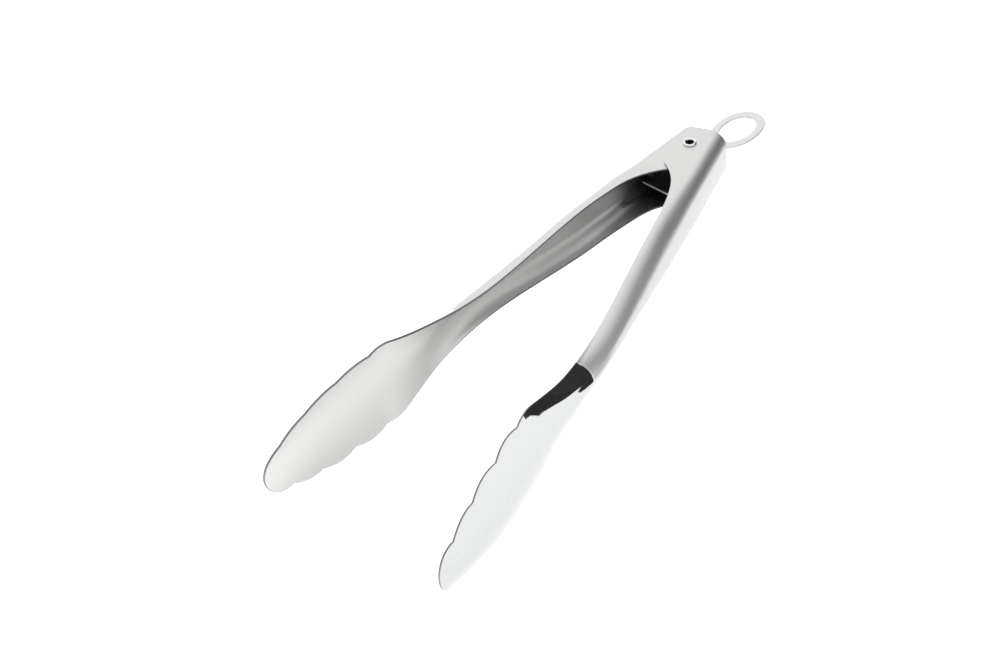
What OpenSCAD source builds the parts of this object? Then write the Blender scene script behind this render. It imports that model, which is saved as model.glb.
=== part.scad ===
// Spring loaded kitchen tongs: two stamped steel arms on a hollow rivet, sprung
// open, with a sliding pull ring that locks them shut.
// Frame: origin on the rivet axis at half height, +X midway between the arms
// towards the heads, +Z up along the rivet. Shown fully open, lying on one side.
// Each arm has its own frame: s along the arm, e outwards, z up.

/* [Overall] */
// Rivet axis to the tip of a head
arm_len = 262; // [230:1:300]
// Angle between each arm and the middle when open (degrees)
half_open = 9.75; // [8:0.25:11]
// Thickness of the arm sheet
sheet = 1.0; // [0.8:0.1:1.2]

/* [Arms] */
// Width of a handle across its flanges
handle_w = 26.6; // [25:0.2:34]
// Width of the neck behind the head
neck_w = 15.6; // [13:0.2:20]
// Width of the head between two opposite notches
head_w = 42.2; // [36:0.2:50]
// Length of the scalloped edge, to the tip
head_len = 74.5; // [62:0.5:90]
// Radius of the end lobe
tip_r = 12; // [10:0.2:14]
// Depth of the outer arm from the closing line to its back
back_outer = 14.8; // [13.2:0.1:17]
// Depth of the inner arm from the closing line to its back
back_inner = 14.8; // [13.2:0.1:17]
// How far a flange reaches past the rivet axis
ear_reach = 6.5; // [5.5:0.1:7]
// Length of arm behind the rivet axis
butt_len = 13; // [11:0.5:15]
// Bulge of an edge lobe, as a share of its pitch
lobe_bulge = 0.1; // [0.04:0.01:0.14]

/* [Rivet] */
// Radius of the open hole through the rivet
rivet_hole_r = 2.0; // [1.5:0.1:2.1]
// Radius of the rivet shank
rivet_shank_r = 2.6; // [2.4:0.1:2.7]
// Radius of the rolled rivet head
rivet_head_r = 3.3; // [3.1:0.1:4]

/* [Latch] */
// Thickness of the latch plate
plate_t = 1.2; // [1:0.1:1.6]
// How far the ring pulls out
pull_travel = 8; // [6:0.5:8]
// Length of the finger hole in the ring
eye_len = 23.4; // [18:0.2:30]
// Width of the finger hole in the ring
eye_w = 15; // [12:0.2:18]
// Width of the ring's band at its sides
band_w = 3.7; // [2:0.1:6]

/* [Spring] */
// Radius of the spring wire
wire_r = 0.8; // [0.5:0.1:0.9]
// Full turns of each coil, besides the part turn between its legs
coil_turns = 3; // [2:1:3]
// Distance along the arm where each spring leg ends
leg_end = 36; // [28:1:42]

/* [Hidden] */

gap = 0.3;              // between pieces that move past one another
fit = 0.05;             // running clearance on the rivet
eps = 0.02;             // hairline under a welded foot
cut = 1;                // how far a cutter runs past a face

// along the arm
pivot_half = 12.7;      // half width of the outer arm at the rivet
ear_flat = 8;           // the ears are flat as far out as this, then rounded
corner_body = 9;        // outside radius between back and flange along the handle,
corner_full = 75;       // from here on
flange_min = 0.5;       // least straight flange under the corner
back_min = 1.5;         // least flat back, each side of the middle line
butt_r = 6;             // rounding of a flange's rear corner
butt_back_r = 2.5;      // and of the back's rear corner
step_from = 20;         // the inner arm is stepped in as far as here
step_to = 46;
kink = arm_len - head_len;      // first corner of the scalloped edge
flare_from = kink - 57.5;       // the neck widens from here
taper_from = flare_from - 68;   // the handle narrows from here
taper_to = flare_from + 2;
dish_from = kink - 69.5;        // the section turns from channel to dish
dish_to = kink - 9.5;
drop_from = kink - 52.5;        // the back comes down to the head
drop_to = kink + 2.5;
dip_from = kink - 27.5;         // the flange edge comes down to the head's rim
last_notch = arm_len - tip_r;
notches = [for (share = [0, 0.184, 0.472, 0.76, 1])
    kink + share * (last_notch - kink)];
head_from = notches[1];         // where the head is widest
head_l = arm_len - head_from;
// heights above the closing line
edge_h = 6.4;           // flange edge along the handle
head_h = 9.95;          // back of the head at its widest
rim_h = 4.75;           // rim of the head at its widest
tip_h = 1.3;            // both at the tip
head_curl = 2.4;        // power by which the back falls to the tip
fillet_drop = 10.2;     // flange edge curving down to the ear
fillet_at = 20;
fillet_len = 12;

// sampling of the arm surface
rows_arc = 4;
rows_back = 3;
rows = 1 + rows_arc + rows_back;

function smooth(a, b, x) =
    let (t = max(0, min(1, (x - a) / (b - a)))) t * t * (3 - 2 * t);

// Head outline between opposite notches.
function ref_half(s) =
    head_w / 2 * sqrt(max(0, 1 - pow(max(0, s - head_from) / head_l, 2)));
function notch_half(k) = k == 4 ? tip_r : ref_half(notches[k]);
function lobe(k, s) =
    let (pitch = notches[k + 1] - notches[k], t = (s - notches[k]) / pitch)
    notch_half(k) * (1 - t) + notch_half(k + 1) * t
        + 4 * lobe_bulge * pitch * t * (1 - t);
function half_w(s, wp) =
    s >= last_notch ? sqrt(max(0, pow(tip_r, 2) - pow(s - last_notch, 2)))
    : s >= notches[3] ? lobe(3, s)
    : s >= notches[2] ? lobe(2, s)
    : s >= notches[1] ? lobe(1, s)
    : s >= kink ? lobe(0, s)
    : neck_w / 2
        + (handle_w - neck_w) / 2 * (1 - smooth(taper_from, taper_to, s))
        - (handle_w / 2 - wp) * (1 - smooth(step_from, step_to, s))
        + (head_w - neck_w) / 2
            * pow(max(0, s - flare_from) / (kink - flare_from), 2);

// Height of the back, and how sharply the dish curves up from it.
function back_e(s, bd) =
    s < butt_back_r - butt_len
        ? bd - butt_back_r + sqrt(max(0, pow(butt_back_r, 2)
                                         - pow(butt_back_r - butt_len - s, 2)))
    : s < head_from ? bd - (bd - head_h) * smooth(drop_from, drop_to, s)
    : tip_h + (head_h - tip_h) * (1 - pow((s - head_from) / head_l, head_curl));
function dish_k(s) =
    let (t = (s - head_from) / head_l)
    (head_h - rim_h) / pow(head_w / 2, 2) * (1 + t + t * t) / (1 + t);

// Height of the flange edge and of the head's rim.
function edge_e(s, bd) =
    s >= head_from ? back_e(s, bd) - dish_k(s) * pow(half_w(s, 0), 2)
    : s < butt_r - butt_len
        ? butt_r - ear_reach - sqrt(pow(butt_r, 2) - pow(butt_r - butt_len - s, 2))
    : max(-ear_reach, edge_h - fillet_drop * exp((fillet_at - s) / fillet_len)
          - (edge_h - rim_h) * smooth(dip_from, drop_to, s));

// Upper half of a section, j = 0 at the edge to j = rows on the middle line.
function corner(s, bd) = let (r = bd - ear_flat)
    r + (corner_body - r) * smooth(step_from, corner_full, s);
function channel_pt(s, j, bd, w, lo, hi) =
    let (rz = min(corner(s, bd), w - back_min),
         re = min(corner(s, bd), hi - lo - flange_min),
         a = 90 * (j - 1) / rows_arc)
    j == 0 ? [w, lo]
    : j <= 1 + rows_arc ? [w - rz * (1 - cos(a)), hi - re * (1 - sin(a))]
    : [(w - rz) * (rows - j) / rows_back, hi];
function dish_pt(j, w, lo, hi) =
    let (v = 1 - j / rows) [w * v, hi - (hi - lo) * v * v];
function sect(s, j, arm) =
    let (w = half_w(s, arm[0]), lo = edge_e(s, arm[1]), hi = back_e(s, arm[1]),
         b = smooth(dish_from, dish_to, s), m = j <= rows ? j : 2 * rows - j,
         p = (1 - b) * channel_pt(s, m, arm[1], w, lo, hi) + b * dish_pt(m, w, lo, hi))
    [s, p[1], j <= rows ? p[0] : -p[0]];

// Unit normal, pointing out of the back.
near = 0.2;
function unit(v) = v / norm(v);
function sheet_n(s, j, arm) =
    let (sm = min(s, arm_len - 2 * near),
         s0 = max(-butt_len, sm - near), s1 = sm + near,
         j0 = max(0, j - 1), j1 = min(2 * rows, j + 1))
    unit(cross(sect(s1, j, arm) - sect(s0, j, arm),
               sect(sm, j1, arm) - sect(sm, j0, arm)));

// where the ear's straight edge meets the fillet
ear_end = fillet_at - fillet_len * ln((edge_h + ear_reach) / fillet_drop);

function spread(a, b, n) = [for (i = [0 : n - 1]) a + (b - a) * i / n];
stations = concat(
    [for (i = [0 : 4]) -butt_len + butt_r * (1 - cos(22.5 * i))],
    spread(ear_end, fillet_at, 2), spread(fillet_at, 34, 5),
    spread(34, step_to, 3), spread(step_to, taper_from, 2),
    spread(taper_from, dish_from, 9), spread(dish_from, kink, 17),
    [for (k = [0 : 3]) each spread(notches[k], notches[k + 1], 6)],
    [for (i = [0 : 8]) last_notch + tip_r * sin(10.6 * i)]);

module sheet_arm(arm) {
    n = len(stations);
    m = 2 * rows;
    loop = 2 * (m + 1);
    outer = [for (s = stations) [for (j = [0 : m]) sect(s, j, arm)]];
    inner = [for (i = [0 : n - 1]) [for (j = [0 : m])
        outer[i][j] - sheet * sheet_n(stations[i], j, arm)]];
    tip = sect(arm_len, rows, arm);
    points = concat([for (i = [0 : n - 1]) each concat(outer[i],
                        [for (j = [m : -1 : 0]) inner[i][j]])],
                    [tip, tip - sheet * sheet_n(arm_len, rows, arm)]);
    last = (n - 1) * loop;
    out_tip = n * loop;
    in_tip = out_tip + 1;
    sides = [for (i = [0 : n - 2]) for (l = [0 : loop - 1])
        let (a = i * loop + l, d = i * loop + (l + 1) % loop,
             c = d + loop, b = a + loop)
        each [[a, d, c], [a, c, b]]];
    butt = [for (j = [0 : m - 1]) each
        [[j + 1, j, loop - 1 - j], [j + 1, loop - 1 - j, loop - 2 - j]]];
    ends = [for (l = [0 : loop - 1])
        let (a = last + l, d = last + (l + 1) % loop)
        each l < m ? [[a, d, out_tip]]
            : l == m ? [[a, d, in_tip], [a, in_tip, out_tip]]
            : l < loop - 1 ? [[a, d, in_tip]]
            : [[a, d, out_tip], [a, out_tip, in_tip]]];
    difference() {
        polyhedron(points = points, faces = concat(sides, butt, ends));
        cylinder(h = handle_w + 2 * cut, r = rivet_shank_r + fit, center = true, $fn = 96);
    }
}

inner_half = pivot_half - sheet - gap;
outer_arm = [pivot_half, back_outer];
inner_arm = [inner_half, back_inner];
module on_right() rotate([0, 0, half_open]) children();
module on_left() mirror([0, 1, 0]) rotate([0, 0, half_open]) children();

module arm_right() color("silver") on_right() sheet_arm(outer_arm);
module arm_left() color("silver") on_left() sheet_arm(inner_arm);

// Hollow rivet, rolled over at both ends.
module pivot_rivet() color("gainsboro") {
    seat = pivot_half + gap;
    lip = (rivet_head_r - rivet_hole_r) / 2;
    difference() {
        union() {
            cylinder(h = 2 * seat, r = rivet_shank_r, center = true, $fn = 96);
            for (flip = [0, 1]) mirror([0, 0, flip]) translate([0, 0, seat])
                rotate_extrude($fn = 96) intersection() {
                    translate([rivet_hole_r + lip, 0]) circle(r = lip, $fn = 48);
                    translate([rivet_hole_r, 0]) square([2 * lip, lip]);
                }
            for (flip = [0, 1]) mirror([0, 0, flip]) translate([0, 0, seat - eps])
                cylinder(h = 2 * eps, r = rivet_hole_r + lip, $fn = 96);
        }
        cylinder(h = 2 * (seat + lip + cut), r = rivet_hole_r, center = true, $fn = 96);
    }
}

// Sleeves that keep the plate at half height.
sleeve_r = rivet_shank_r + 0.9;
module spacers() color("dimgray")
    for (flip = [0, 1]) mirror([0, 0, flip])
        translate([0, 0, plate_t / 2 + gap]) difference() {
            cylinder(h = inner_half - sheet - plate_t / 2 - gap - eps, r = sleeve_r, $fn = 96);
            translate([0, 0, -cut])
                cylinder(h = handle_w, r = rivet_shank_r + fit, $fn = 96);
        }

// Torsion spring: a coil on the sleeve with one leg along each arm's back.
coil_r = sleeve_r + gap + wire_r;
coil_low = 2.9;
coil_high = 8.7;
wire_sides = 8;
coil_steps = 84;
leg_right = [leg_end, back_outer - sheet - gap - wire_r];
leg_drop = 1;           // the outer leg clears the arm's rounded corner
leg_left = [leg_end, back_inner - sheet - gap - wire_r - leg_drop];
function polar_a(p) = atan2(p[1], p[0]);
turn_from = half_open + polar_a(leg_right) + acos(coil_r / norm(leg_right));
turn_to = 360 * (1 + coil_turns) - half_open - polar_a(leg_left)
          - acos(coil_r / norm(leg_left));
function at(p, a) = norm(p) * [cos(a), sin(a)];
spring_path = concat(
    [concat(at(leg_right, half_open + polar_a(leg_right)), coil_low)],
    [for (i = [0 : coil_steps]) let (t = i / coil_steps,
        a = turn_from + (turn_to - turn_from) * t)
        [coil_r * cos(a), coil_r * sin(a), coil_low + (coil_high - coil_low) * t]],
    [concat(at(leg_left, -half_open - polar_a(leg_left)), coil_high)]);
module torsion_spring() {
    n = len(spring_path);
    function side(i) =
        let (d = spring_path[min(n - 1, i + 1)] - spring_path[max(0, i - 1)])
        unit([-d[1], d[0], 0]);
    points = [for (i = [0 : n - 1]) for (k = [0 : wire_sides - 1])
        let (a = 360 * k / wire_sides)
        spring_path[i] + wire_r * (cos(a) * side(i) + [0, 0, sin(a)])];
    sides = [for (i = [0 : n - 2]) for (k = [0 : wire_sides - 1])
        let (a = i * wire_sides + k, b = i * wire_sides + (k + 1) % wire_sides,
             c = b + wire_sides, d = a + wire_sides)
        each [[a, c, b], [a, d, c]]];
    first = [for (k = [0 : wire_sides - 1]) k];
    final = [for (k = [wire_sides - 1 : -1 : 0]) (n - 1) * wire_sides + k];
    polyhedron(points = points, faces = concat(sides, [first], [final]));
}
module spring_upper() color("gray") torsion_spring();
module spring_lower() color("gray") mirror([0, 0, 1]) torsion_spring();

// Latch plate and ring, in the inner arm's frame.
slot_half = rivet_shank_r + gap;
tang_half = 5.0;        // plate beside its slot
tang_back = 24;         // runs into the ring
head_back = 12.5;       // wide head of the plate
head_front = 25;
head_left = 9.5;        // towards the inner arm's back
hook_in = 7.1;          // hook on the other side
hook_out = 8.9;
hook_tip = 18;
hook_root = 22;
ring_mid = 35.5;
ring_off = -0.9;
end_w = 5.0;            // band at the ring's ends
ring_power = 2.1;
ring_steps = 96;
function oval(a, b, p) = [for (i = [0 : ring_steps - 1])
    let (t = 360 * i / ring_steps, c = cos(t), d = sin(t))
    [a * sign(c) * pow(abs(c), 2 / p), b * sign(d) * pow(abs(d), 2 / p)]];
module latch_ring() color("lightgray") on_left()
    translate([0, 0, -plate_t / 2]) linear_extrude(plate_t) difference() {
        union() {
            translate([-ring_mid, ring_off])
                polygon(oval(eye_len / 2 + end_w, eye_w / 2 + band_w, ring_power));
            translate([-tang_back, -tang_half])
                square([tang_back + head_front, 2 * tang_half]);
            translate([head_back, 0]) square([head_front - head_back, head_left]);
            translate([hook_root, -hook_out])
                square([head_front - hook_root, hook_out]);
            translate([hook_tip, -hook_out])
                square([hook_root - hook_tip + cut, hook_out - hook_in]);
        }
        translate([-ring_mid, ring_off]) polygon(oval(eye_len / 2, eye_w / 2, 2));
        translate([0, -slot_half]) square([pull_travel, 2 * slot_half]);
        circle(r = slot_half, $fn = 64);
        translate([pull_travel, 0]) circle(r = slot_half, $fn = 64);
    }

// Channel welded inside the inner arm's back; the plate's edge slides in it.
guide_from = 13;
guide_len = 4.5;
guide_lip = 1;
guide_in = 7.8;         // its groove takes the plate's edge from here
guide_depth = back_inner - sheet - eps - guide_in;
module latch_guide() color("darkgray") on_left()
    translate([guide_from, guide_in, 0]) {
        lip_at = plate_t / 2 + gap;
        difference() {
            translate([0, 0, -lip_at - guide_lip])
                cube([guide_len, guide_depth, 2 * (lip_at + guide_lip)]);
            translate([-cut, -cut, -lip_at])
                cube([guide_len + 2 * cut, head_left + gap + cut - guide_in, 2 * lip_at]);
        }
    }

// Bent strip welded inside the outer arm's back; the plate's hook slides behind
// its finger when the arms are shut and the ring is pulled out.
catch_t = 1.2;
catch_half = 1.5;
catch_from = 7;
catch_tip = hook_root - pull_travel - 0.5;
catch_in = tang_half + 0.45;
catch_foot = 19;
module catch_right() color("darkgray") on_right()
    translate([0, 0, -catch_half]) linear_extrude(2 * catch_half) {
        back = back_outer - sheet - eps;
        translate([catch_from, catch_in]) square([catch_t + 0.2, back - catch_in]);
        translate([catch_from, catch_in]) square([catch_tip - catch_from, catch_t]);
        translate([catch_from, back - catch_t])
            square([catch_foot - catch_from, catch_t]);
    }

arm_left();
arm_right();
pivot_rivet();
spacers();
spring_upper();
spring_lower();
latch_ring();
latch_guide();
catch_right();
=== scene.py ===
import math

import bmesh
import bpy
import numpy as np
from mathutils import Matrix, Vector


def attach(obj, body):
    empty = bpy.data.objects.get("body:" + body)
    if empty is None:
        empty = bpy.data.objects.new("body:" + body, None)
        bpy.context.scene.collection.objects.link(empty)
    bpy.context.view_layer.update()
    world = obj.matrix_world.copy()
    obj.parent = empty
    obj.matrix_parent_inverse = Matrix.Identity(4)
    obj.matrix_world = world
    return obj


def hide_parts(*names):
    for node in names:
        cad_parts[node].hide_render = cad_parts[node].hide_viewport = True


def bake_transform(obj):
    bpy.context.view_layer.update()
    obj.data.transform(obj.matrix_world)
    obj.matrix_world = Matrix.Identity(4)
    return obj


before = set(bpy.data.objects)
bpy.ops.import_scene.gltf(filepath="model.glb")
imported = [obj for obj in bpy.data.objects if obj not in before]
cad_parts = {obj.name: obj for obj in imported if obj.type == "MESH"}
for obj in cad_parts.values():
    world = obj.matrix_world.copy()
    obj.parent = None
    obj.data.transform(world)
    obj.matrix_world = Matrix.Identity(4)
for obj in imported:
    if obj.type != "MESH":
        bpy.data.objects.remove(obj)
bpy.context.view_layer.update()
MM = 0.001                # one millimetre in metres

# ---------------------------------------------------------------- sizes, mm
ARM_LEN, HALF_OPEN, SHEET = 262.0, 9.75, 1.0
HANDLE_W, NECK_W, HEAD_W = 26.6, 15.6, 42.2
HEAD_LEN, TIP_R, BULGE = 74.5, 12.0, 0.1
EAR, BUTT, BUTT_R, BUTT_BACK_R = 6.5, 13.0, 6.0, 2.5
EAR_FLAT, BODY_CORNER_R, CORNER_FULL_AT = 8.0, 9.0, 75.0
FLANGE_MIN, BACK_MIN = 0.5, 1.5
STEP_FROM, STEP_TO = 20.0, 46.0
KINK = ARM_LEN - HEAD_LEN
FLARE = KINK - 57.5
TAPER_FROM, TAPER_TO = FLARE - 68.0, FLARE + 2.0
DISH_FROM, DISH_TO = KINK - 69.5, KINK - 9.5
DROP_FROM, DROP_TO, DIP_FROM = KINK - 52.5, KINK + 2.5, KINK - 27.5
LAST_NOTCH = ARM_LEN - TIP_R
NOTCHES = KINK + np.array([0, 0.184, 0.472, 0.76, 1]) * (LAST_NOTCH - KINK)
HEAD_FROM = NOTCHES[1]
EDGE_H, HEAD_H, RIM_H, TIP_H, HEAD_CURL = 6.4, 9.95, 4.75, 1.3, 2.4
FILLET_DROP, FILLET_AT, FILLET_LEN = 10.2, 20.0, 12.0
FLANGE_SHARE, CORNER_SHARE = 1 / 8, 4 / 8
POLISH_FROM = 150.0       # the mirror polish of the head starts here
EDGE_DARK_FROM = 12.0     # the inner arm's edge is left as sheared from here
BORE_R = 2.65
HOLE_BLOCK = 1.95         # half side of the grid's block that becomes the bore
HOLE_SPREAD = 4.0         # and where the grid is plain again
POLISH_ROWS = 0.8         # fine rows reach this far either side of the polish line
GROOVE_DEPTH, GROOVE_REACH = 0.09, 0.22
EDGE_ROUNDING = 0.2       # how far the sheet's rounded edge stands out
BRUSHED, MIRROR, SATIN, SHEARED = range(4)      # places in the arms' finishes


def smooth(a, b, x):
    """0 before a, 1 after b, and 3t^2 - 2t^3 between them."""
    t = np.clip((x - a) / (b - a), 0, 1)
    return t * t * (3 - 2 * t)


# ---------------------------------------------------------------- arm sheet
def half_width(s, pivot_half):
    """Half the arm's width: the handle tapers to the neck, flares with the
    square of the distance to the head, then runs in lobes that bulge between
    notches on an ellipse and ends in a half circle."""
    ref = HEAD_W / 2 * np.sqrt(np.maximum(
        0, 1 - (np.maximum(0, NOTCHES[:4] - HEAD_FROM) / (ARM_LEN - HEAD_FROM)) ** 2))
    at_notch = np.append(ref, TIP_R)
    k = np.clip(np.searchsorted(NOTCHES, s, side="right") - 1, 0, 3)
    pitch = NOTCHES[k + 1] - NOTCHES[k]
    t = (s - NOTCHES[k]) / pitch
    lobe = at_notch[k] * (1 - t) + at_notch[k + 1] * t + 4 * BULGE * pitch * t * (1 - t)
    tip = np.sqrt(np.maximum(0, TIP_R ** 2 - (s - LAST_NOTCH) ** 2))
    handle = (NECK_W / 2 + (HANDLE_W - NECK_W) / 2 * (1 - smooth(TAPER_FROM, TAPER_TO, s))
              - (HANDLE_W / 2 - pivot_half) * (1 - smooth(STEP_FROM, STEP_TO, s))
              + (HEAD_W - NECK_W) / 2 * (np.maximum(0, s - FLARE) / (KINK - FLARE)) ** 2)
    return np.where(s >= LAST_NOTCH, tip, np.where(s >= KINK, lobe, handle))


def back_line(s, back):
    """Height of the arm's back: a quarter round at the butt, level, a smooth
    drop to the head, then a curl down to the tip."""
    round_in = back - BUTT_BACK_R + np.sqrt(np.maximum(
        0, BUTT_BACK_R ** 2 - (BUTT_BACK_R - BUTT - s) ** 2))
    t = np.maximum(0, s - HEAD_FROM) / (ARM_LEN - HEAD_FROM)
    level = np.where(s < BUTT_BACK_R - BUTT, round_in,
                     back - (back - HEAD_H) * smooth(DROP_FROM, DROP_TO, s))
    return np.where(s < HEAD_FROM, level, TIP_H + (HEAD_H - TIP_H) * (1 - t ** HEAD_CURL))


def edge_line(s, back):
    """Height of the sheet's edge: round butt corner, ear round the rivet, an
    exponential run-out to the flange, and on the head a parabola's drop."""
    ear = BUTT_R - EAR - np.sqrt(np.maximum(0, BUTT_R ** 2 - (BUTT_R - BUTT - s) ** 2))
    flange = np.maximum(-EAR, EDGE_H - FILLET_DROP * np.exp((FILLET_AT - s) / FILLET_LEN)
                        - (EDGE_H - RIM_H) * smooth(DIP_FROM, DROP_TO, s))
    t = (s - HEAD_FROM) / (ARM_LEN - HEAD_FROM)
    dish = (HEAD_H - RIM_H) / (HEAD_W / 2) ** 2 * (1 + t + t * t) / (1 + t)
    rim = back_line(s, back) - dish * half_width(s, 0) ** 2
    return np.where(s >= HEAD_FROM, rim, np.where(s < BUTT_R - BUTT, ear, flange))


def corner_radius(s, back):
    """Radius between flange and back: what the flat ear leaves round the
    rivet, growing to a larger one along the handle."""
    return back - EAR_FLAT + (BODY_CORNER_R - back + EAR_FLAT) * smooth(STEP_FROM, CORNER_FULL_AT, s)


def arm_skin(s, q, pivot_half, back):
    """Outer skin in the arm's own axes (along, out, up). q runs -1..1 across:
    flange, quarter-round corner and flat back, which blend into a parabola
    dish towards the head."""
    v = 1 - np.abs(q)
    w, low, high = half_width(s, pivot_half), edge_line(s, back), back_line(s, back)
    turn = np.clip((v - FLANGE_SHARE) / CORNER_SHARE, 0, 1) * np.pi / 2
    up = np.clip(v / FLANGE_SHARE, 0, 1)
    along = np.clip((v - FLANGE_SHARE - CORNER_SHARE) / (1 - FLANGE_SHARE - CORNER_SHARE), 0, 1)
    rz = np.minimum(corner_radius(s, back), w - BACK_MIN)
    re = np.minimum(corner_radius(s, back), high - low - FLANGE_MIN)
    channel_z = (w - rz * (1 - np.cos(turn))) - (w - rz) * along
    channel_e = low + (high - re - low) * up + re * np.sin(turn)
    dish_z, dish_e = w * (1 - v), high - (high - low) * (1 - v) ** 2
    b = smooth(DISH_FROM, DISH_TO, s)
    return np.stack([s, (1 - b) * channel_e + b * dish_e,
                     np.sign(q) * ((1 - b) * channel_z + b * dish_z)], -1)


def skin_normal(s, q, pivot_half, back):
    """Unit normal out of the back, from differences a short step either way."""
    ds, dq = 0.2, 0.01
    mid = np.minimum(s, ARM_LEN - 2 * ds)
    s0, s1 = np.maximum(-BUTT, mid - ds), mid + ds
    q0, q1 = np.clip(q - dq, -1, 1), np.clip(q + dq, -1, 1)
    n = np.cross(arm_skin(s1, q, pivot_half, back) - arm_skin(s0, q, pivot_half, back),
                 arm_skin(mid, q0, pivot_half, back) - arm_skin(mid, q1, pivot_half, back))
    return n / np.linalg.norm(n, axis=-1, keepdims=True)


def to_object(points, left):
    """Arm axes to the object's: a turn by half the opening angle, and the
    left arm is the same turn the other way with out towards -Y."""
    a = math.radians(HALF_OPEN)
    along, out, up = points[..., 0], points[..., 1], points[..., 2]
    y = along * math.sin(a) + out * math.cos(a)
    return np.stack([along * math.cos(a) - out * math.sin(a), -y if left else y, up], -1)


def make_piece(name, points_mm, faces, materials, face_material=None, uv=None):
    """Mesh object from points in mm and index faces; doubles are merged and
    the faces turned outwards."""
    mesh = bpy.data.meshes.new(name)
    mesh.from_pydata((np.asarray(points_mm, float) * MM).tolist(), [], faces)
    for material in materials:
        mesh.materials.append(material)
    if face_material is not None:
        mesh.polygons.foreach_set("material_index", np.asarray(face_material, np.int32))
    if uv is not None:
        corner = np.empty(len(mesh.loops), np.int32)
        mesh.loops.foreach_get("vertex_index", corner)
        layer = mesh.uv_layers.new(name="along_across")
        layer.uv.foreach_set("vector", np.asarray(uv, np.float32)[corner].ravel())
    bm = bmesh.new()
    bm.from_mesh(mesh)
    bmesh.ops.remove_doubles(bm, verts=bm.verts, dist=2e-6)
    bmesh.ops.dissolve_degenerate(bm, edges=bm.edges, dist=1e-7)
    bmesh.ops.recalc_face_normals(bm, faces=bm.faces)
    for face in bm.faces:
        face.smooth = True
    bm.to_mesh(mesh)
    bm.free()
    piece = bpy.data.objects.new(name, mesh)
    bpy.context.collection.objects.link(piece)
    return piece


def quads(index):
    """Quads of a grid of vertex numbers."""
    corners = [index[:-1, :-1], index[:-1, 1:], index[1:, 1:], index[1:, :-1]]
    return np.stack(corners, -1).reshape(-1, 4)


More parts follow.
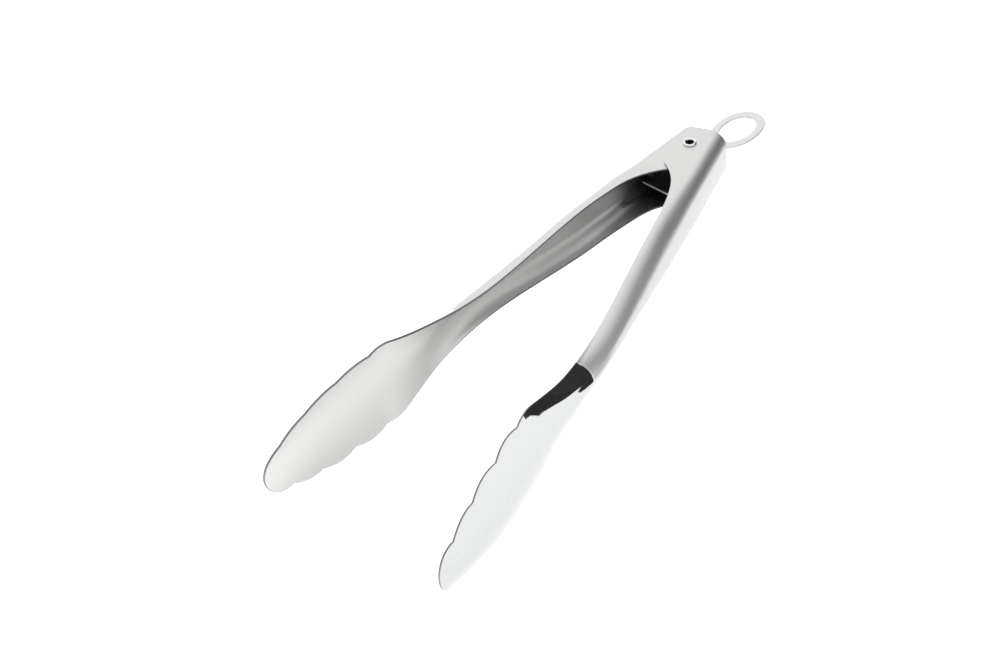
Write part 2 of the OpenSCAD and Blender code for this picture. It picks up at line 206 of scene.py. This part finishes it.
def pressed_arm(name, left, pivot_half, back, materials):
    """One pressed arm: skin and its inside a sheet thickness in, joined by a
    rounded edge all round, with the rivet's hole through both ears. The hole
    is a square block of the grid drawn out to a circle."""
    block, spread = HOLE_BLOCK, HOLE_SPREAD
    round_hole = [np.linspace(-spread, -block, 5)[:-1], np.linspace(-block, block, 9)[:-1],
                  np.linspace(block, spread, 5)[:-1]]
    s = np.concatenate([
        -BUTT + (BUTT - spread) * (1 - np.cos(np.linspace(0, np.pi / 2, 16)))[:-1],
        *round_hole, np.linspace(spread, POLISH_FROM - POLISH_ROWS, 120)[:-1],
        np.linspace(POLISH_FROM - POLISH_ROWS, POLISH_FROM + POLISH_ROWS, 13)[:-1],
        np.linspace(POLISH_FROM + POLISH_ROWS, KINK, 30)[:-1]]
        + [np.linspace(a, b, n)[:-1] for a, b, n in zip(NOTCHES[:-1], NOTCHES[1:], (10, 14, 14, 12))]
        + [LAST_NOTCH + TIP_R * np.sin(np.linspace(0, np.pi / 2, 26))])
    flat = EAR_FLAT + EAR
    low = (np.concatenate([np.linspace(-EAR, -spread, 4)[:-1], *round_hole,
                           np.linspace(spread, EAR_FLAT, 6)[:-1]]) + EAR) / flat * FLANGE_SHARE
    v = np.concatenate([low, FLANGE_SHARE + CORNER_SHARE * np.linspace(0, 1, 17)[:-1],
                        1 - (1 - FLANGE_SHARE - CORNER_SHARE) * np.linspace(1, 0, 9)])
    q = np.concatenate([v - 1, (1 - v)[-2::-1]])
    S, Q = np.meshgrid(s, q, indexing="ij")
    skin, out = arm_skin(S, Q, pivot_half, back), skin_normal(S, Q, pivot_half, back)
    # shallow groove where the polish starts
    groove = GROOVE_DEPTH * np.exp(-((S - POLISH_FROM) / GROOVE_REACH) ** 2)[..., None]
    inner = skin - SHEET * out
    skin = skin - groove * out
    # bore: points near the rivet move onto circles
    on_flange = 1 - np.abs(Q) <= FLANGE_SHARE
    for layer in (skin, inner):
        x, y = layer[..., 0], layer[..., 1]
        reach = np.maximum(np.abs(x), np.abs(y))
        t = np.clip((reach - block) / (spread - block), 0, 1)
        near = on_flange & (reach < spread) & (reach > 1e-6)
        scale = np.where(near, (1 - t) * BORE_R / np.maximum(np.hypot(x, y), 1e-6) + t, 1)
        layer[..., 0] *= scale
        layer[..., 1] *= scale
    ns, nq = S.shape
    skin_id = np.arange(ns * nq).reshape(ns, nq)
    inner_id = skin_id + ns * nq
    centre_s = (S[:-1, :-1] + S[1:, 1:]) / 2
    e0 = -EAR + flat * (1 - np.abs(Q)) / FLANGE_SHARE
    centre_e = (e0[:-1, :-1] + e0[1:, 1:]) / 2
    flange_cell = on_flange[:-1, :-1] & on_flange[1:, 1:]
    hole = flange_cell & (np.abs(centre_s) < block) & (np.abs(centre_e) < block)
    keep = ~hole.ravel()
    faces = [quads(skin_id)[keep], quads(inner_id)[keep]]
    polished = (centre_s > POLISH_FROM).ravel()[keep]
    kinds = [np.where(polished, MIRROR, BRUSHED), np.full(keep.sum(), SATIN)]
    # bore walls: from the block's rim on the skin to its rim inside, at each ear
    rows = np.flatnonzero(np.abs(s) <= block + 1e-6)
    e_of = -EAR + flat * (1 - np.abs(q)) / FLANGE_SHARE
    for side in (1, -1):
        cols = np.flatnonzero((np.sign(q) == side) & (1 - np.abs(q) <= FLANGE_SHARE)
                              & (np.abs(e_of) <= block + 1e-6))
        loop = ([(r, cols[0]) for r in rows[:-1]] + [(rows[-1], c) for c in cols[:-1]]
                + [(r, cols[-1]) for r in rows[:0:-1]] + [(rows[0], c) for c in cols[:0:-1]])
        a = np.array([skin_id[p] for p in loop])
        b = np.array([inner_id[p] for p in loop])
        faces.append(np.stack([a, np.roll(a, -1), np.roll(b, -1), b], -1))
        kinds.append(np.full(len(a), SATIN))
    # rounded edge all round the sheet
    ring = np.concatenate([skin_id[::-1, -1], skin_id[0, -2:0:-1], skin_id[:-1, 0]])
    flat_skin, flat_inner = skin.reshape(-1, 3), inner.reshape(-1, 3)
    top, bottom = flat_skin[ring], flat_inner[ring]
    mid, half = (top + bottom) / 2, (top - bottom) / 2
    run = np.roll(mid, -1, 0) - np.roll(mid, 1, 0)
    away = np.cross(run, half)
    away /= np.maximum(np.linalg.norm(away, axis=1, keepdims=True), 1e-9)
    angle = np.linspace(0, np.pi, 7)[1:-1, None, None]
    straight, stand_out = mid[None] + half[None] * np.cos(angle), EDGE_ROUNDING * np.sin(angle)
    # the rounding points away from the arm's middle, which one point of the ring tells
    probe = 60
    outwards = (away[probe] * (mid[probe] - skin[ns // 2, nq // 2])).sum() >= 0
    edge = straight + stand_out * (away if outwards else -away)[None]
    start = 2 * ns * nq
    edge_id = start + np.arange(edge.shape[0] * len(ring)).reshape(edge.shape[0], len(ring))
    band = np.vstack([ring[None], edge_id, (ring + ns * nq)[None]])
    band = np.hstack([band, band[:, :1]])
    faces.append(quads(band))
    ring_s = np.append(S.ravel()[ring], S.ravel()[ring[0]])
    sheared = (ring_s[:-1] > POLISH_FROM) | (left & (ring_s[:-1] > EDGE_DARK_FROM))
    kinds.append(np.tile(np.where(sheared, SHEARED, BRUSHED), len(band) - 1))
    points = np.vstack([flat_skin, flat_inner, edge.reshape(-1, 3)])
    step = np.linalg.norm(np.diff(skin, axis=1), axis=-1)
    across = np.concatenate([np.zeros((ns, 1)), np.cumsum(step, 1)], 1)
    across -= across[:, nq // 2][:, None]
    grid_uv = np.stack([S, across], -1).reshape(-1, 2) * MM
    inside_uv = grid_uv + [0, 100 * MM]       # so that the grain differs inside
    uv = np.vstack([grid_uv, inside_uv, np.tile(grid_uv[ring], (edge.shape[0], 1))])
    return make_piece(name, to_object(points, left), np.vstack(faces).tolist(), materials,
                      np.concatenate(kinds), uv)


def swept_wire(name, path, radius, materials, sides=16):
    """Round wire along a path: circles square to the path, with rounded ends."""
    path = np.asarray(path, float)
    along = np.gradient(path, axis=0)
    along /= np.linalg.norm(along, axis=1, keepdims=True)
    side = np.stack([-along[:, 1], along[:, 0], np.zeros(len(path))], -1)
    side /= np.linalg.norm(side, axis=1, keepdims=True)
    lift = np.cross(along, side)
    cap = np.linspace(np.pi / 2, 0, 5)[1:]
    before, after = cap[:-1], cap[-2::-1]
    centre = np.vstack([path[0] - along[0] * radius * np.sin(before)[:, None], path,
                        path[-1] + along[-1] * radius * np.sin(after)[:, None]])
    size = radius * np.concatenate([np.cos(before), np.ones(len(path)), np.cos(after)])
    which = np.concatenate([np.zeros(len(before), int), np.arange(len(path)),
                            np.full(len(after), len(path) - 1)])
    turn = np.linspace(0, 2 * np.pi, sides, endpoint=False)
    grid = (centre[:, None] + size[:, None, None] * (np.cos(turn)[None, :, None] * side[which][:, None]
            + np.sin(turn)[None, :, None] * lift[which][:, None]))
    index = np.arange(len(centre) * sides).reshape(len(centre), sides)
    index = np.hstack([index, index[:, :1]])
    faces = quads(index).tolist() + [index[0, :-1].tolist(), index[-1, :-1].tolist()]
    return make_piece(name, grid.reshape(-1, 3), faces, materials)


def turned(name, profile, materials, sides=128):
    """Closed profile of (radius, height) turned about the rivet's axis."""
    profile = np.asarray(profile, float)
    turn = np.linspace(0, 2 * np.pi, sides, endpoint=False)
    grid = np.stack([profile[None, :, 0] * np.cos(turn)[:, None],
                     profile[None, :, 0] * np.sin(turn)[:, None],
                     np.broadcast_to(profile[None, :, 1], (sides, len(profile)))], -1)
    index = np.arange(sides * len(profile)).reshape(sides, len(profile))
    index = np.vstack([index, index[:1]])
    index = np.hstack([index, index[:, :1]])
    return make_piece(name, grid.reshape(-1, 3), quads(index).tolist(), materials)


def oval(centre, across, power, turn):
    """Superellipse |x/a|^p + |y/b|^p = 1 about a centre, at the given angles."""
    c, s = np.cos(turn), np.sin(turn)
    return np.stack([centre[0] + across[0] * np.sign(c) * np.abs(c) ** (2 / power),
                     centre[1] + across[1] * np.sign(s) * np.abs(s) ** (2 / power)], -1)


def filleted(corners, radius):
    """Open path through corners, each inner one rounded to a short arc drawn
    as a quadratic curve that leaves and meets its sides a radius away."""
    corners = np.asarray(corners, float)
    t = np.linspace(0, 1, 7)[:, None]
    rows = [corners[:1]]
    for before, corner, after in zip(corners[:-2], corners[1:-1], corners[2:]):
        a = corner + (before - corner) * min(0.45, radius / np.linalg.norm(before - corner))
        b = corner + (after - corner) * min(0.45, radius / np.linalg.norm(after - corner))
        rows.append((1 - t) ** 2 * a + 2 * t * (1 - t) * corner + t * t * b)
    return np.vstack(rows + [corners[-1:]])


def even_steps(loop, step):
    """The closed loop resampled at equal steps of its own length."""
    closed = np.vstack([loop, loop[:1]])
    run = np.concatenate([[0], np.cumsum(np.linalg.norm(np.diff(closed, axis=0), axis=1))])
    at = np.linspace(0, run[-1], int(run[-1] / step) + 1)[:-1]
    return np.stack([np.interp(at, run, closed[:, k]) for k in (0, 1)], -1)


def stamped_plate(name, outline, holes, thick, edge_r, left, materials):
    """Flat plate: each outline runs down its edge in rows, a quarter round of
    edge_r, a straight side and a quarter round, and the flats are filled."""
    bend = np.linspace(0, np.pi / 2, 5)
    inset = edge_r * (1 - np.sin(bend))
    height = thick / 2 - edge_r * (1 - np.cos(bend))
    inset, height = np.concatenate([inset, inset[::-1]]), np.concatenate([height, -height[::-1]])
    points, faces = [], []
    count = 0
    for loop, outer in [(outline, True)] + [(h, False) for h in holes]:
        x, y = loop[:, 0], loop[:, 1]
        if (np.sum(x * np.roll(y, -1) - np.roll(x, -1) * y) > 0) != outer:
            loop = loop[::-1]
        run = np.roll(loop, -1, 0) - np.roll(loop, 1, 0)
        run /= np.linalg.norm(run, axis=1, keepdims=True)
        inward = np.stack([-run[:, 1], run[:, 0]], -1)
        rows = loop[None] + inset[:, None, None] * inward[None]
        level = np.broadcast_to(height[:, None, None], (*rows.shape[:2], 1))
        grid = np.concatenate([rows, level], -1)
        index = count + np.arange(grid.shape[0] * grid.shape[1]).reshape(grid.shape[:2])
        count += index.size
        points.append(grid.reshape(-1, 3))
        faces.append(quads(np.hstack([index, index[:, :1]])))
    points = to_object(np.vstack(points), left)
    plate = make_piece(name, points, np.vstack(faces).tolist(), materials)
    bm = bmesh.new()
    bm.from_mesh(plate.data)
    for level in (thick / 2, -thick / 2):
        edges = [e for e in bm.edges if e.is_boundary
                 and all(abs(v.co.z - level * MM) < 1e-7 for v in e.verts)]
        made = bmesh.ops.triangle_fill(bm, use_beauty=True, use_dissolve=False, edges=edges)
        for face in made["geom"]:
            if isinstance(face, bmesh.types.BMFace):
                face.smooth = False
    bmesh.ops.recalc_face_normals(bm, faces=bm.faces)
    bm.to_mesh(plate.data)
    bm.free()
    return plate


# ---------------------------------------------------------------- materials
def colour(hex_code):
    """sRGB hex to linear RGBA."""
    c = np.array([int(hex_code[i:i + 2], 16) for i in (1, 3, 5)]) / 255
    c = np.where(c <= 0.04045, c / 12.92, ((c + 0.055) / 1.055) ** 2.4)
    return (*c.tolist(), 1.0)


def node(tree, kind, settings=None, links=None):
    """Adds a node, sets its properties and input values and links its inputs."""
    made = tree.nodes.new(kind)
    for key, value in (settings or {}).items():
        if isinstance(key, str) and hasattr(made, key):
            setattr(made, key, value)
        else:
            made.inputs[key].default_value = value
    for key, source in (links or {}).items():
        tree.links.new(source, made.inputs[key])
    return made


GRAIN_SHADE = 0.93        # how dark a grain line is beside the metal's own tone


def metal(name, base, rough, rough_swing, grain, bump_mm, slot_coord="UV", painted_shade=None):
    """Bare metal: a stretched noise drives small changes of roughness, tone
    and height, so highlights break up along the finish's direction. grain is
    the noise per metre each way, and the last argument is a painted shade: a
    dark tone that fades out along the arm between two distances in mm."""
    made = bpy.data.materials.new(name)
    made.use_nodes = True
    tree = made.node_tree
    tree.nodes.clear()
    place = node(tree, "ShaderNodeTexCoord")
    lay = node(tree, "ShaderNodeMapping", {"Scale": grain}, {"Vector": place.outputs[slot_coord]})
    noise = node(tree, "ShaderNodeTexNoise", {"Scale": 1.0, "Detail": 3.0, "Roughness": 0.6},
                 {"Vector": lay.outputs["Vector"]})
    swing = node(tree, "ShaderNodeMapRange", {"To Min": rough - rough_swing, "To Max": rough + rough_swing},
                 {"Value": noise.outputs["Fac"]})
    darker = tuple(c * GRAIN_SHADE for c in colour(base)[:3]) + (1.0,)
    tone = node(tree, "ShaderNodeMix", {"data_type": "RGBA", 6: darker, 7: colour(base)},
                {"Factor": noise.outputs["Fac"]})
    # painted shade: a dark tone mixed in, fading out along the arm from the pivot end
    if painted_shade:
        along = node(tree, "ShaderNodeSeparateXYZ", None, {"Vector": place.outputs["UV"]})
        reach = node(tree, "ShaderNodeMapRange", {"From Min": painted_shade[1] * MM, "From Max": painted_shade[2] * MM,
                     "interpolation_type": "SMOOTHSTEP"}, {"Value": along.outputs["X"]})
        tone = node(tree, "ShaderNodeMix", {"data_type": "RGBA", 6: colour(painted_shade[0])},
                    {"Factor": reach.outputs["Result"], 7: tone.outputs[2]})
    bump = node(tree, "ShaderNodeBump", {"Strength": 1.0, "Distance": bump_mm * MM},
                {"Height": noise.outputs["Fac"]})
    shader = node(tree, "ShaderNodeBsdfPrincipled", {"Metallic": 1.0},
                  {"Base Color": tone.outputs[2], "Roughness": swing.outputs["Result"],
                   "Normal": bump.outputs["Normal"]})
    node(tree, "ShaderNodeOutputMaterial", None, {"Surface": shader.outputs["BSDF"]})
    return made


# Stainless steel brushed along the arm: fine lengthwise lines that soften what
# it mirrors. Lines 0.6 mm apart and some 16 mm long, drawn coarser than real
# grit so that they show.
brushed_steel = metal("brushed_stainless_steel", "#D5D5D4", 0.47, 0.06, (60, 1600, 1), 0.002)
# Stainless steel buffed to a mirror: sharp dark and white shapes, faint swirls.
mirror_steel = metal("mirror_buffed_stainless_steel", "#C3C4C4", 0.06, 0.02, (300, 500, 1), 0.0)
# Stainless steel tumbled to a satin: wide, even glow without lines.
# Its inside is painted darker towards the pivot end, a painted shade for the shadow deep between the arms
# there.
satin_steel = metal("satin_stainless_steel", "#D8D8D7", 0.46, 0.04, (700, 2000, 1), 0.001,
                    painted_shade=("#3C3C3C", 12, 48))
# Sheared edge of the sheet, unpolished: a thin grey outline.
sheared_steel = metal("sheared_steel_edge", "#858585", 0.42, 0.05, (900, 900, 1), 0.002)
# Stamped steel plate, lightly tumbled: pale with softly shining edges.
stamped_steel = metal("stamped_stainless_plate", "#CFCFCE", 0.3, 0.03, (400, 400, 400), 0.0005, "Object")
# Oil-tempered spring wire: dark grey, with die lines.
spring_wire = metal("oil_tempered_spring_wire", "#6C6C6B", 0.3, 0.05, (1500, 1500, 1500), 0.002, "Object")
# Rolled and polished rivet tube: bright rim.
rivet_steel = metal("polished_rivet_steel", "#E6E6E6", 0.1, 0.03, (1200, 1200, 1200), 0.0, "Object")


NYLON_IOR = 1.53


def nylon():
    """Moulded nylon: near black and matt, with a faint mottle."""
    made = bpy.data.materials.new("moulded_nylon")
    made.use_nodes = True
    tree = made.node_tree
    tree.nodes.clear()
    place = node(tree, "ShaderNodeTexCoord")
    noise = node(tree, "ShaderNodeTexNoise", {"Scale": 900.0, "Detail": 2.0},
                 {"Vector": place.outputs["Object"]})
    tone = node(tree, "ShaderNodeMix", {"data_type": "RGBA", 6: colour("#33332F"), 7: colour("#3D3D39")},
                {"Factor": noise.outputs["Fac"]})
    swing = node(tree, "ShaderNodeMapRange", {"To Min": 0.45, "To Max": 0.6},
                 {"Value": noise.outputs["Fac"]})
    shader = node(tree, "ShaderNodeBsdfPrincipled", {"IOR": NYLON_IOR},
                  {"Base Color": tone.outputs[2], "Roughness": swing.outputs["Result"]})
    node(tree, "ShaderNodeOutputMaterial", None, {"Surface": shader.outputs["BSDF"]})
    return made


spacer_nylon = nylon()

# ---------------------------------------------------------------- pieces
PIVOT_HALF, BACK_OUTER = 12.7, 14.8
INNER_HALF, BACK_INNER = 11.4, 14.8
finishes = [brushed_steel, mirror_steel, satin_steel, sheared_steel]
right_arm = pressed_arm("outer_arm_sheet", False, PIVOT_HALF, BACK_OUTER, finishes)
left_arm = pressed_arm("inner_arm_sheet", True, INNER_HALF, BACK_INNER, finishes)
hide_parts("arm_right")
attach(right_arm, "outer_arm")
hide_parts("arm_left")
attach(left_arm, "inner_arm")

# rivet: tube with both ends rolled over the outer arm's ears; the lip's round
# starts at the hole, and SEAT is where it lies on the ear
HOLE_R, SHANK_R, LIP_R, SEAT = 2.0, 2.6, 0.65, 13.0
roll = np.linspace(0, np.pi, 17)
upper = np.stack([HOLE_R + LIP_R + LIP_R * np.cos(roll), SEAT + LIP_R * np.sin(roll)], -1)
profile = np.vstack([upper, [[HOLE_R, 0]], (upper * [1, -1])[::-1], [[SHANK_R, -SEAT], [SHANK_R, SEAT]]])
rivet = turned("rolled_rivet", profile, [rivet_steel])
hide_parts("pivot_rivet")
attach(rivet, "inner_arm")

# torsion springs: a helix on the rivet with a leg inside each arm's back; each
# leg leaves the coil on a tangent
WIRE_R, COIL_R, TURNS, COIL_LOW, COIL_HIGH = 0.8, 4.6, 3, 2.9, 8.7
LEG_END, LEG_GAP, LEG_DROP = 36.0, 0.3, 1.0
LEG_RIGHT = (LEG_END, BACK_OUTER - SHEET - LEG_GAP - WIRE_R)
LEG_LEFT = (LEG_END, BACK_INNER - SHEET - LEG_GAP - WIRE_R - LEG_DROP)
a_open = math.radians(HALF_OPEN)
angle_right = a_open + math.atan2(LEG_RIGHT[1], LEG_RIGHT[0])
angle_left = -a_open - math.atan2(LEG_LEFT[1], LEG_LEFT[0])
turn_from = angle_right + math.acos(COIL_R / math.hypot(*LEG_RIGHT))
turn_to = angle_left + 2 * math.pi * (1 + TURNS) - math.acos(COIL_R / math.hypot(*LEG_LEFT))
share = np.linspace(0, 1, 181)
turn = turn_from + (turn_to - turn_from) * share
helix = np.stack([COIL_R * np.cos(turn), COIL_R * np.sin(turn),
                  COIL_LOW + (COIL_HIGH - COIL_LOW) * share], -1)
end_right = np.array([math.hypot(*LEG_RIGHT) * math.cos(angle_right),
                      math.hypot(*LEG_RIGHT) * math.sin(angle_right), COIL_LOW])
end_left = np.array([math.hypot(*LEG_LEFT) * math.cos(angle_left),
                     math.hypot(*LEG_LEFT) * math.sin(angle_left), COIL_HIGH])
leg = np.linspace(0, 1, 25)[:, None]
spring_path = np.vstack([end_right + (helix[0] - end_right) * leg[:-1], helix,
                         helix[-1] + (end_left - helix[-1]) * leg[1:]])
for name, cad, flip in (("torsion_spring_upper", "spring_upper", 1),
                        ("torsion_spring_lower", "spring_lower", -1)):
    spring = swept_wire(name, spring_path * [1, 1, flip], WIRE_R, [spring_wire])
    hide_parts(cad)
    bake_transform(spring)

# latch plate with its ring: slotted tang, wide head with a hook, oval eye
RING_AT, EYE, BAND, END_BAND, RING_POWER = (-35.5, -0.9), (11.7, 7.5), 3.7, 5.0, 2.1
TANG, HEAD_BACK, HEAD_FRONT, HEAD_SIDE = 5.0, 12.5, 25.0, 9.5
HOOK_IN, HOOK_OUT, HOOK_TIP, HOOK_ROOT, SLOT, PULL = 7.1, 8.9, 18.0, 22.0, 2.9, 8.0
PLATE_T, PLATE_EDGE_R, PLATE_CORNER_R, POINT_STEP = 1.2, 0.3, 0.9, 0.3
ring_size = (EYE[0] + END_BAND, EYE[1] + BAND)


def tang_meets_ring(edge):
    """Angle on the ring's outline where the tang's edge runs into it."""
    up = (edge - RING_AT[1]) / ring_size[1]
    return math.copysign(math.asin(abs(up) ** (RING_POWER / 2)), up)


ring_arc = oval(RING_AT, ring_size, RING_POWER,
                np.linspace(tang_meets_ring(TANG), 2 * np.pi + tang_meets_ring(-TANG), 160))
plate_front = filleted([ring_arc[-1], (HOOK_ROOT, -TANG), (HOOK_ROOT, -HOOK_IN), (HOOK_TIP, -HOOK_IN),
                        (HOOK_TIP, -HOOK_OUT), (HEAD_FRONT, -HOOK_OUT), (HEAD_FRONT, HEAD_SIDE),
                        (HEAD_BACK, HEAD_SIDE), (HEAD_BACK, TANG), ring_arc[0]], PLATE_CORNER_R)
outline = even_steps(np.vstack([ring_arc, plate_front[1:-1]]), POINT_STEP)
full_turn = np.linspace(0, 2 * np.pi, 200, endpoint=False)
half_turn = np.linspace(-np.pi / 2, np.pi / 2, 40)
slot_end = SLOT * np.stack([np.cos(half_turn), np.sin(half_turn)], -1)
slot = np.vstack([slot_end + [PULL, 0], -slot_end])
latch = stamped_plate("latch_plate_ring", outline,
                      [oval(RING_AT, EYE, 2, full_turn), even_steps(slot, POINT_STEP)],
                      PLATE_T, PLATE_EDGE_R, True, [stamped_steel])
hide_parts("latch_ring")
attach(latch, "latch")

for name, material in (("latch_guide", stamped_steel), ("catch_right", stamped_steel),
                       ("spacers", spacer_nylon)):
    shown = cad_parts[name]
    for place in range(len(shown.material_slots)):
        shown.material_slots[place].material = material

# ---------------------------------------------------------------- studio
scene = bpy.context.scene
scene.view_settings.view_transform = "Standard"
scene.view_settings.look = "None"


def stage_card(name, corners, material, unseen=False):
    """Flat card; an unseen one shows only in reflections."""
    mesh = bpy.data.meshes.new(name)
    mesh.from_pydata([tuple(c) for c in corners], [], [tuple(range(len(corners)))])
    mesh.materials.append(material)
    card = bpy.data.objects.new(name, mesh)
    bpy.context.collection.objects.link(card)
    if unseen:
        card.visible_camera = False
        card.visible_diffuse = False
        card.visible_shadow = False
        card.visible_transmission = False
    return card


def plain(name, code, rough, glow=0.0):
    """Dull stage surface of one colour, which may glow white."""
    made = bpy.data.materials.new(name)
    made.use_nodes = True
    shader = made.node_tree.nodes["Principled BSDF"]
    shader.inputs["Base Color"].default_value = colour(code)
    shader.inputs["Roughness"].default_value = rough
    shader.inputs["Specular IOR Level"].default_value = 0.0
    shader.inputs["Emission Color"].default_value = (1, 1, 1, 1)
    shader.inputs["Emission Strength"].default_value = glow
    return made


FLOOR_Z = -0.0235
FLOOR_HALF = 6.0
# cards on the table lie just over it, in two levels
ON_TABLE, ABOVE_FLAG = FLOOR_Z + 0.001, FLOOR_Z + 0.002
paper = plain("white_light_table", "#E8E8E8", 0.9, glow=0.77)
stage_card("floor", [(x * FLOOR_HALF, y * FLOOR_HALF, FLOOR_Z)
                     for x, y in ((-1, -1), (1, -1), (1, 1), (-1, 1))], paper)

# lighter card in front of the inner arm's head, for a soft fall-off of light
stage_card("head_card", [(0.125, -0.024, ABOVE_FLAG), (0.170, -0.006, ABOVE_FLAG),
                         (0.215, 0.000, ABOVE_FLAG), (0.230, 0.030, ABOVE_FLAG),
                         (0.150, 0.036, ABOVE_FLAG)],
           plain("pale_card", "#BABABA", 1.0), unseen=True)

# grey card further on, mirrored in the inside of the neck
stage_card("neck_card", [(0.050, -0.016, ABOVE_FLAG), (0.125, -0.026, ABOVE_FLAG),
                         (0.150, 0.036, ABOVE_FLAG), (0.060, 0.016, ABOVE_FLAG)],
           plain("grey_card", "#C0C0C0", 1.0), unseen=True)

# black flag at the camera's right: it draws the dark band along the handle's
# corner and the dark patch on the mirror
flag_black = plain("black_flag", "#383838", 1.0)


def at_bearing(origin, azimuth, elevation, distance):
    """Point at a bearing in degrees and a distance from an origin."""
    a, e = math.radians(azimuth), math.radians(elevation)
    return np.array(origin) + distance * np.array(
        [math.cos(e) * math.cos(a), math.cos(e) * math.sin(a), math.sin(e)])


MIRROR_PATCH, FLAG_AWAY = (0.165, 0.037, 0.010), 0.6
stage_card("flag", [at_bearing(MIRROR_PATCH, azimuth, elevation, FLAG_AWAY)
                    for azimuth, elevation in ((130, -4), (180, -4), (180, 38), (130, 30))],
           flag_black, unseen=True)
# the flag goes on along the table, from the outer arm out to the side
stage_card("flag_foot", [(x * MM, y * MM, ON_TABLE) for x, y in (
    (123, 62), (116, 84), (99, 99), (84, 121), (72, 165), (-250, 520), (-700, 300), (-300, 66))],
    flag_black, unseen=True)

# a second flag lies on the table between the handles and darkens what the
# insides of the arms mirror near the pivot
stage_card("table_flag", [(-0.005, -0.006, ABOVE_FLAG), (0.050, -0.016, ABOVE_FLAG),
                          (0.060, 0.016, ABOVE_FLAG), (-0.005, 0.008, ABOVE_FLAG)],
           flag_black, unseen=True)

world = bpy.data.worlds.new("white_room")
scene.world = world
world.use_nodes = True
world.node_tree.nodes["Background"].inputs["Color"].default_value = (1, 1, 1, 1)
world.node_tree.nodes["Background"].inputs["Strength"].default_value = 1.0


def softbox(name, place, aim, size, power):
    """Square soft light aimed at a point."""
    light = bpy.data.lights.new(name, "AREA")
    light.shape, light.size, light.energy = "SQUARE", size, power
    lamp = bpy.data.objects.new(name, light)
    lamp.location = place
    direction = np.array(aim, float) - np.array(place, float)
    lamp.rotation_euler = Vector(direction).to_track_quat("-Z", "Y").to_euler()
    bpy.context.collection.objects.link(lamp)
    return lamp


# far behind the tongs and above: its light grazes the inside of the heads
MIDDLE = (0.1, 0, 0)
softbox("far_softbox", at_bearing(MIDDLE, -137, 44, 1.2), MIDDLE, size=1.1, power=1.3)

# ---------------------------------------------------------------- camera
CAM_ELEVATION, CAM_AZIMUTH, CAM_ROLL = map(math.radians, (44.287, 133.112, -9.747))
CAM_PLACE, CAM_LENS, CAM_SENSOR = (0.425654, 0.253043, 0.379157), 44.765, 36.0
back_axis = np.array([math.sin(CAM_AZIMUTH) * math.cos(CAM_ELEVATION),
                      -math.cos(CAM_AZIMUTH) * math.cos(CAM_ELEVATION), math.sin(CAM_ELEVATION)])
level = np.cross([0, 0, 1], back_axis)
level /= np.linalg.norm(level)
upright = np.cross(back_axis, level)
right_axis = math.cos(CAM_ROLL) * level + math.sin(CAM_ROLL) * upright
up_axis = -math.sin(CAM_ROLL) * level + math.cos(CAM_ROLL) * upright
lens = bpy.data.cameras.new("camera")
lens.lens, lens.sensor_width = CAM_LENS, CAM_SENSOR
lens.clip_start = 0.01
camera = bpy.data.objects.new("camera", lens)
place = Matrix(np.column_stack([right_axis, up_axis, back_axis]).tolist()).to_4x4()
place.translation = CAM_PLACE
camera.matrix_world = place
bpy.context.collection.objects.link(camera)
scene.camera = camera
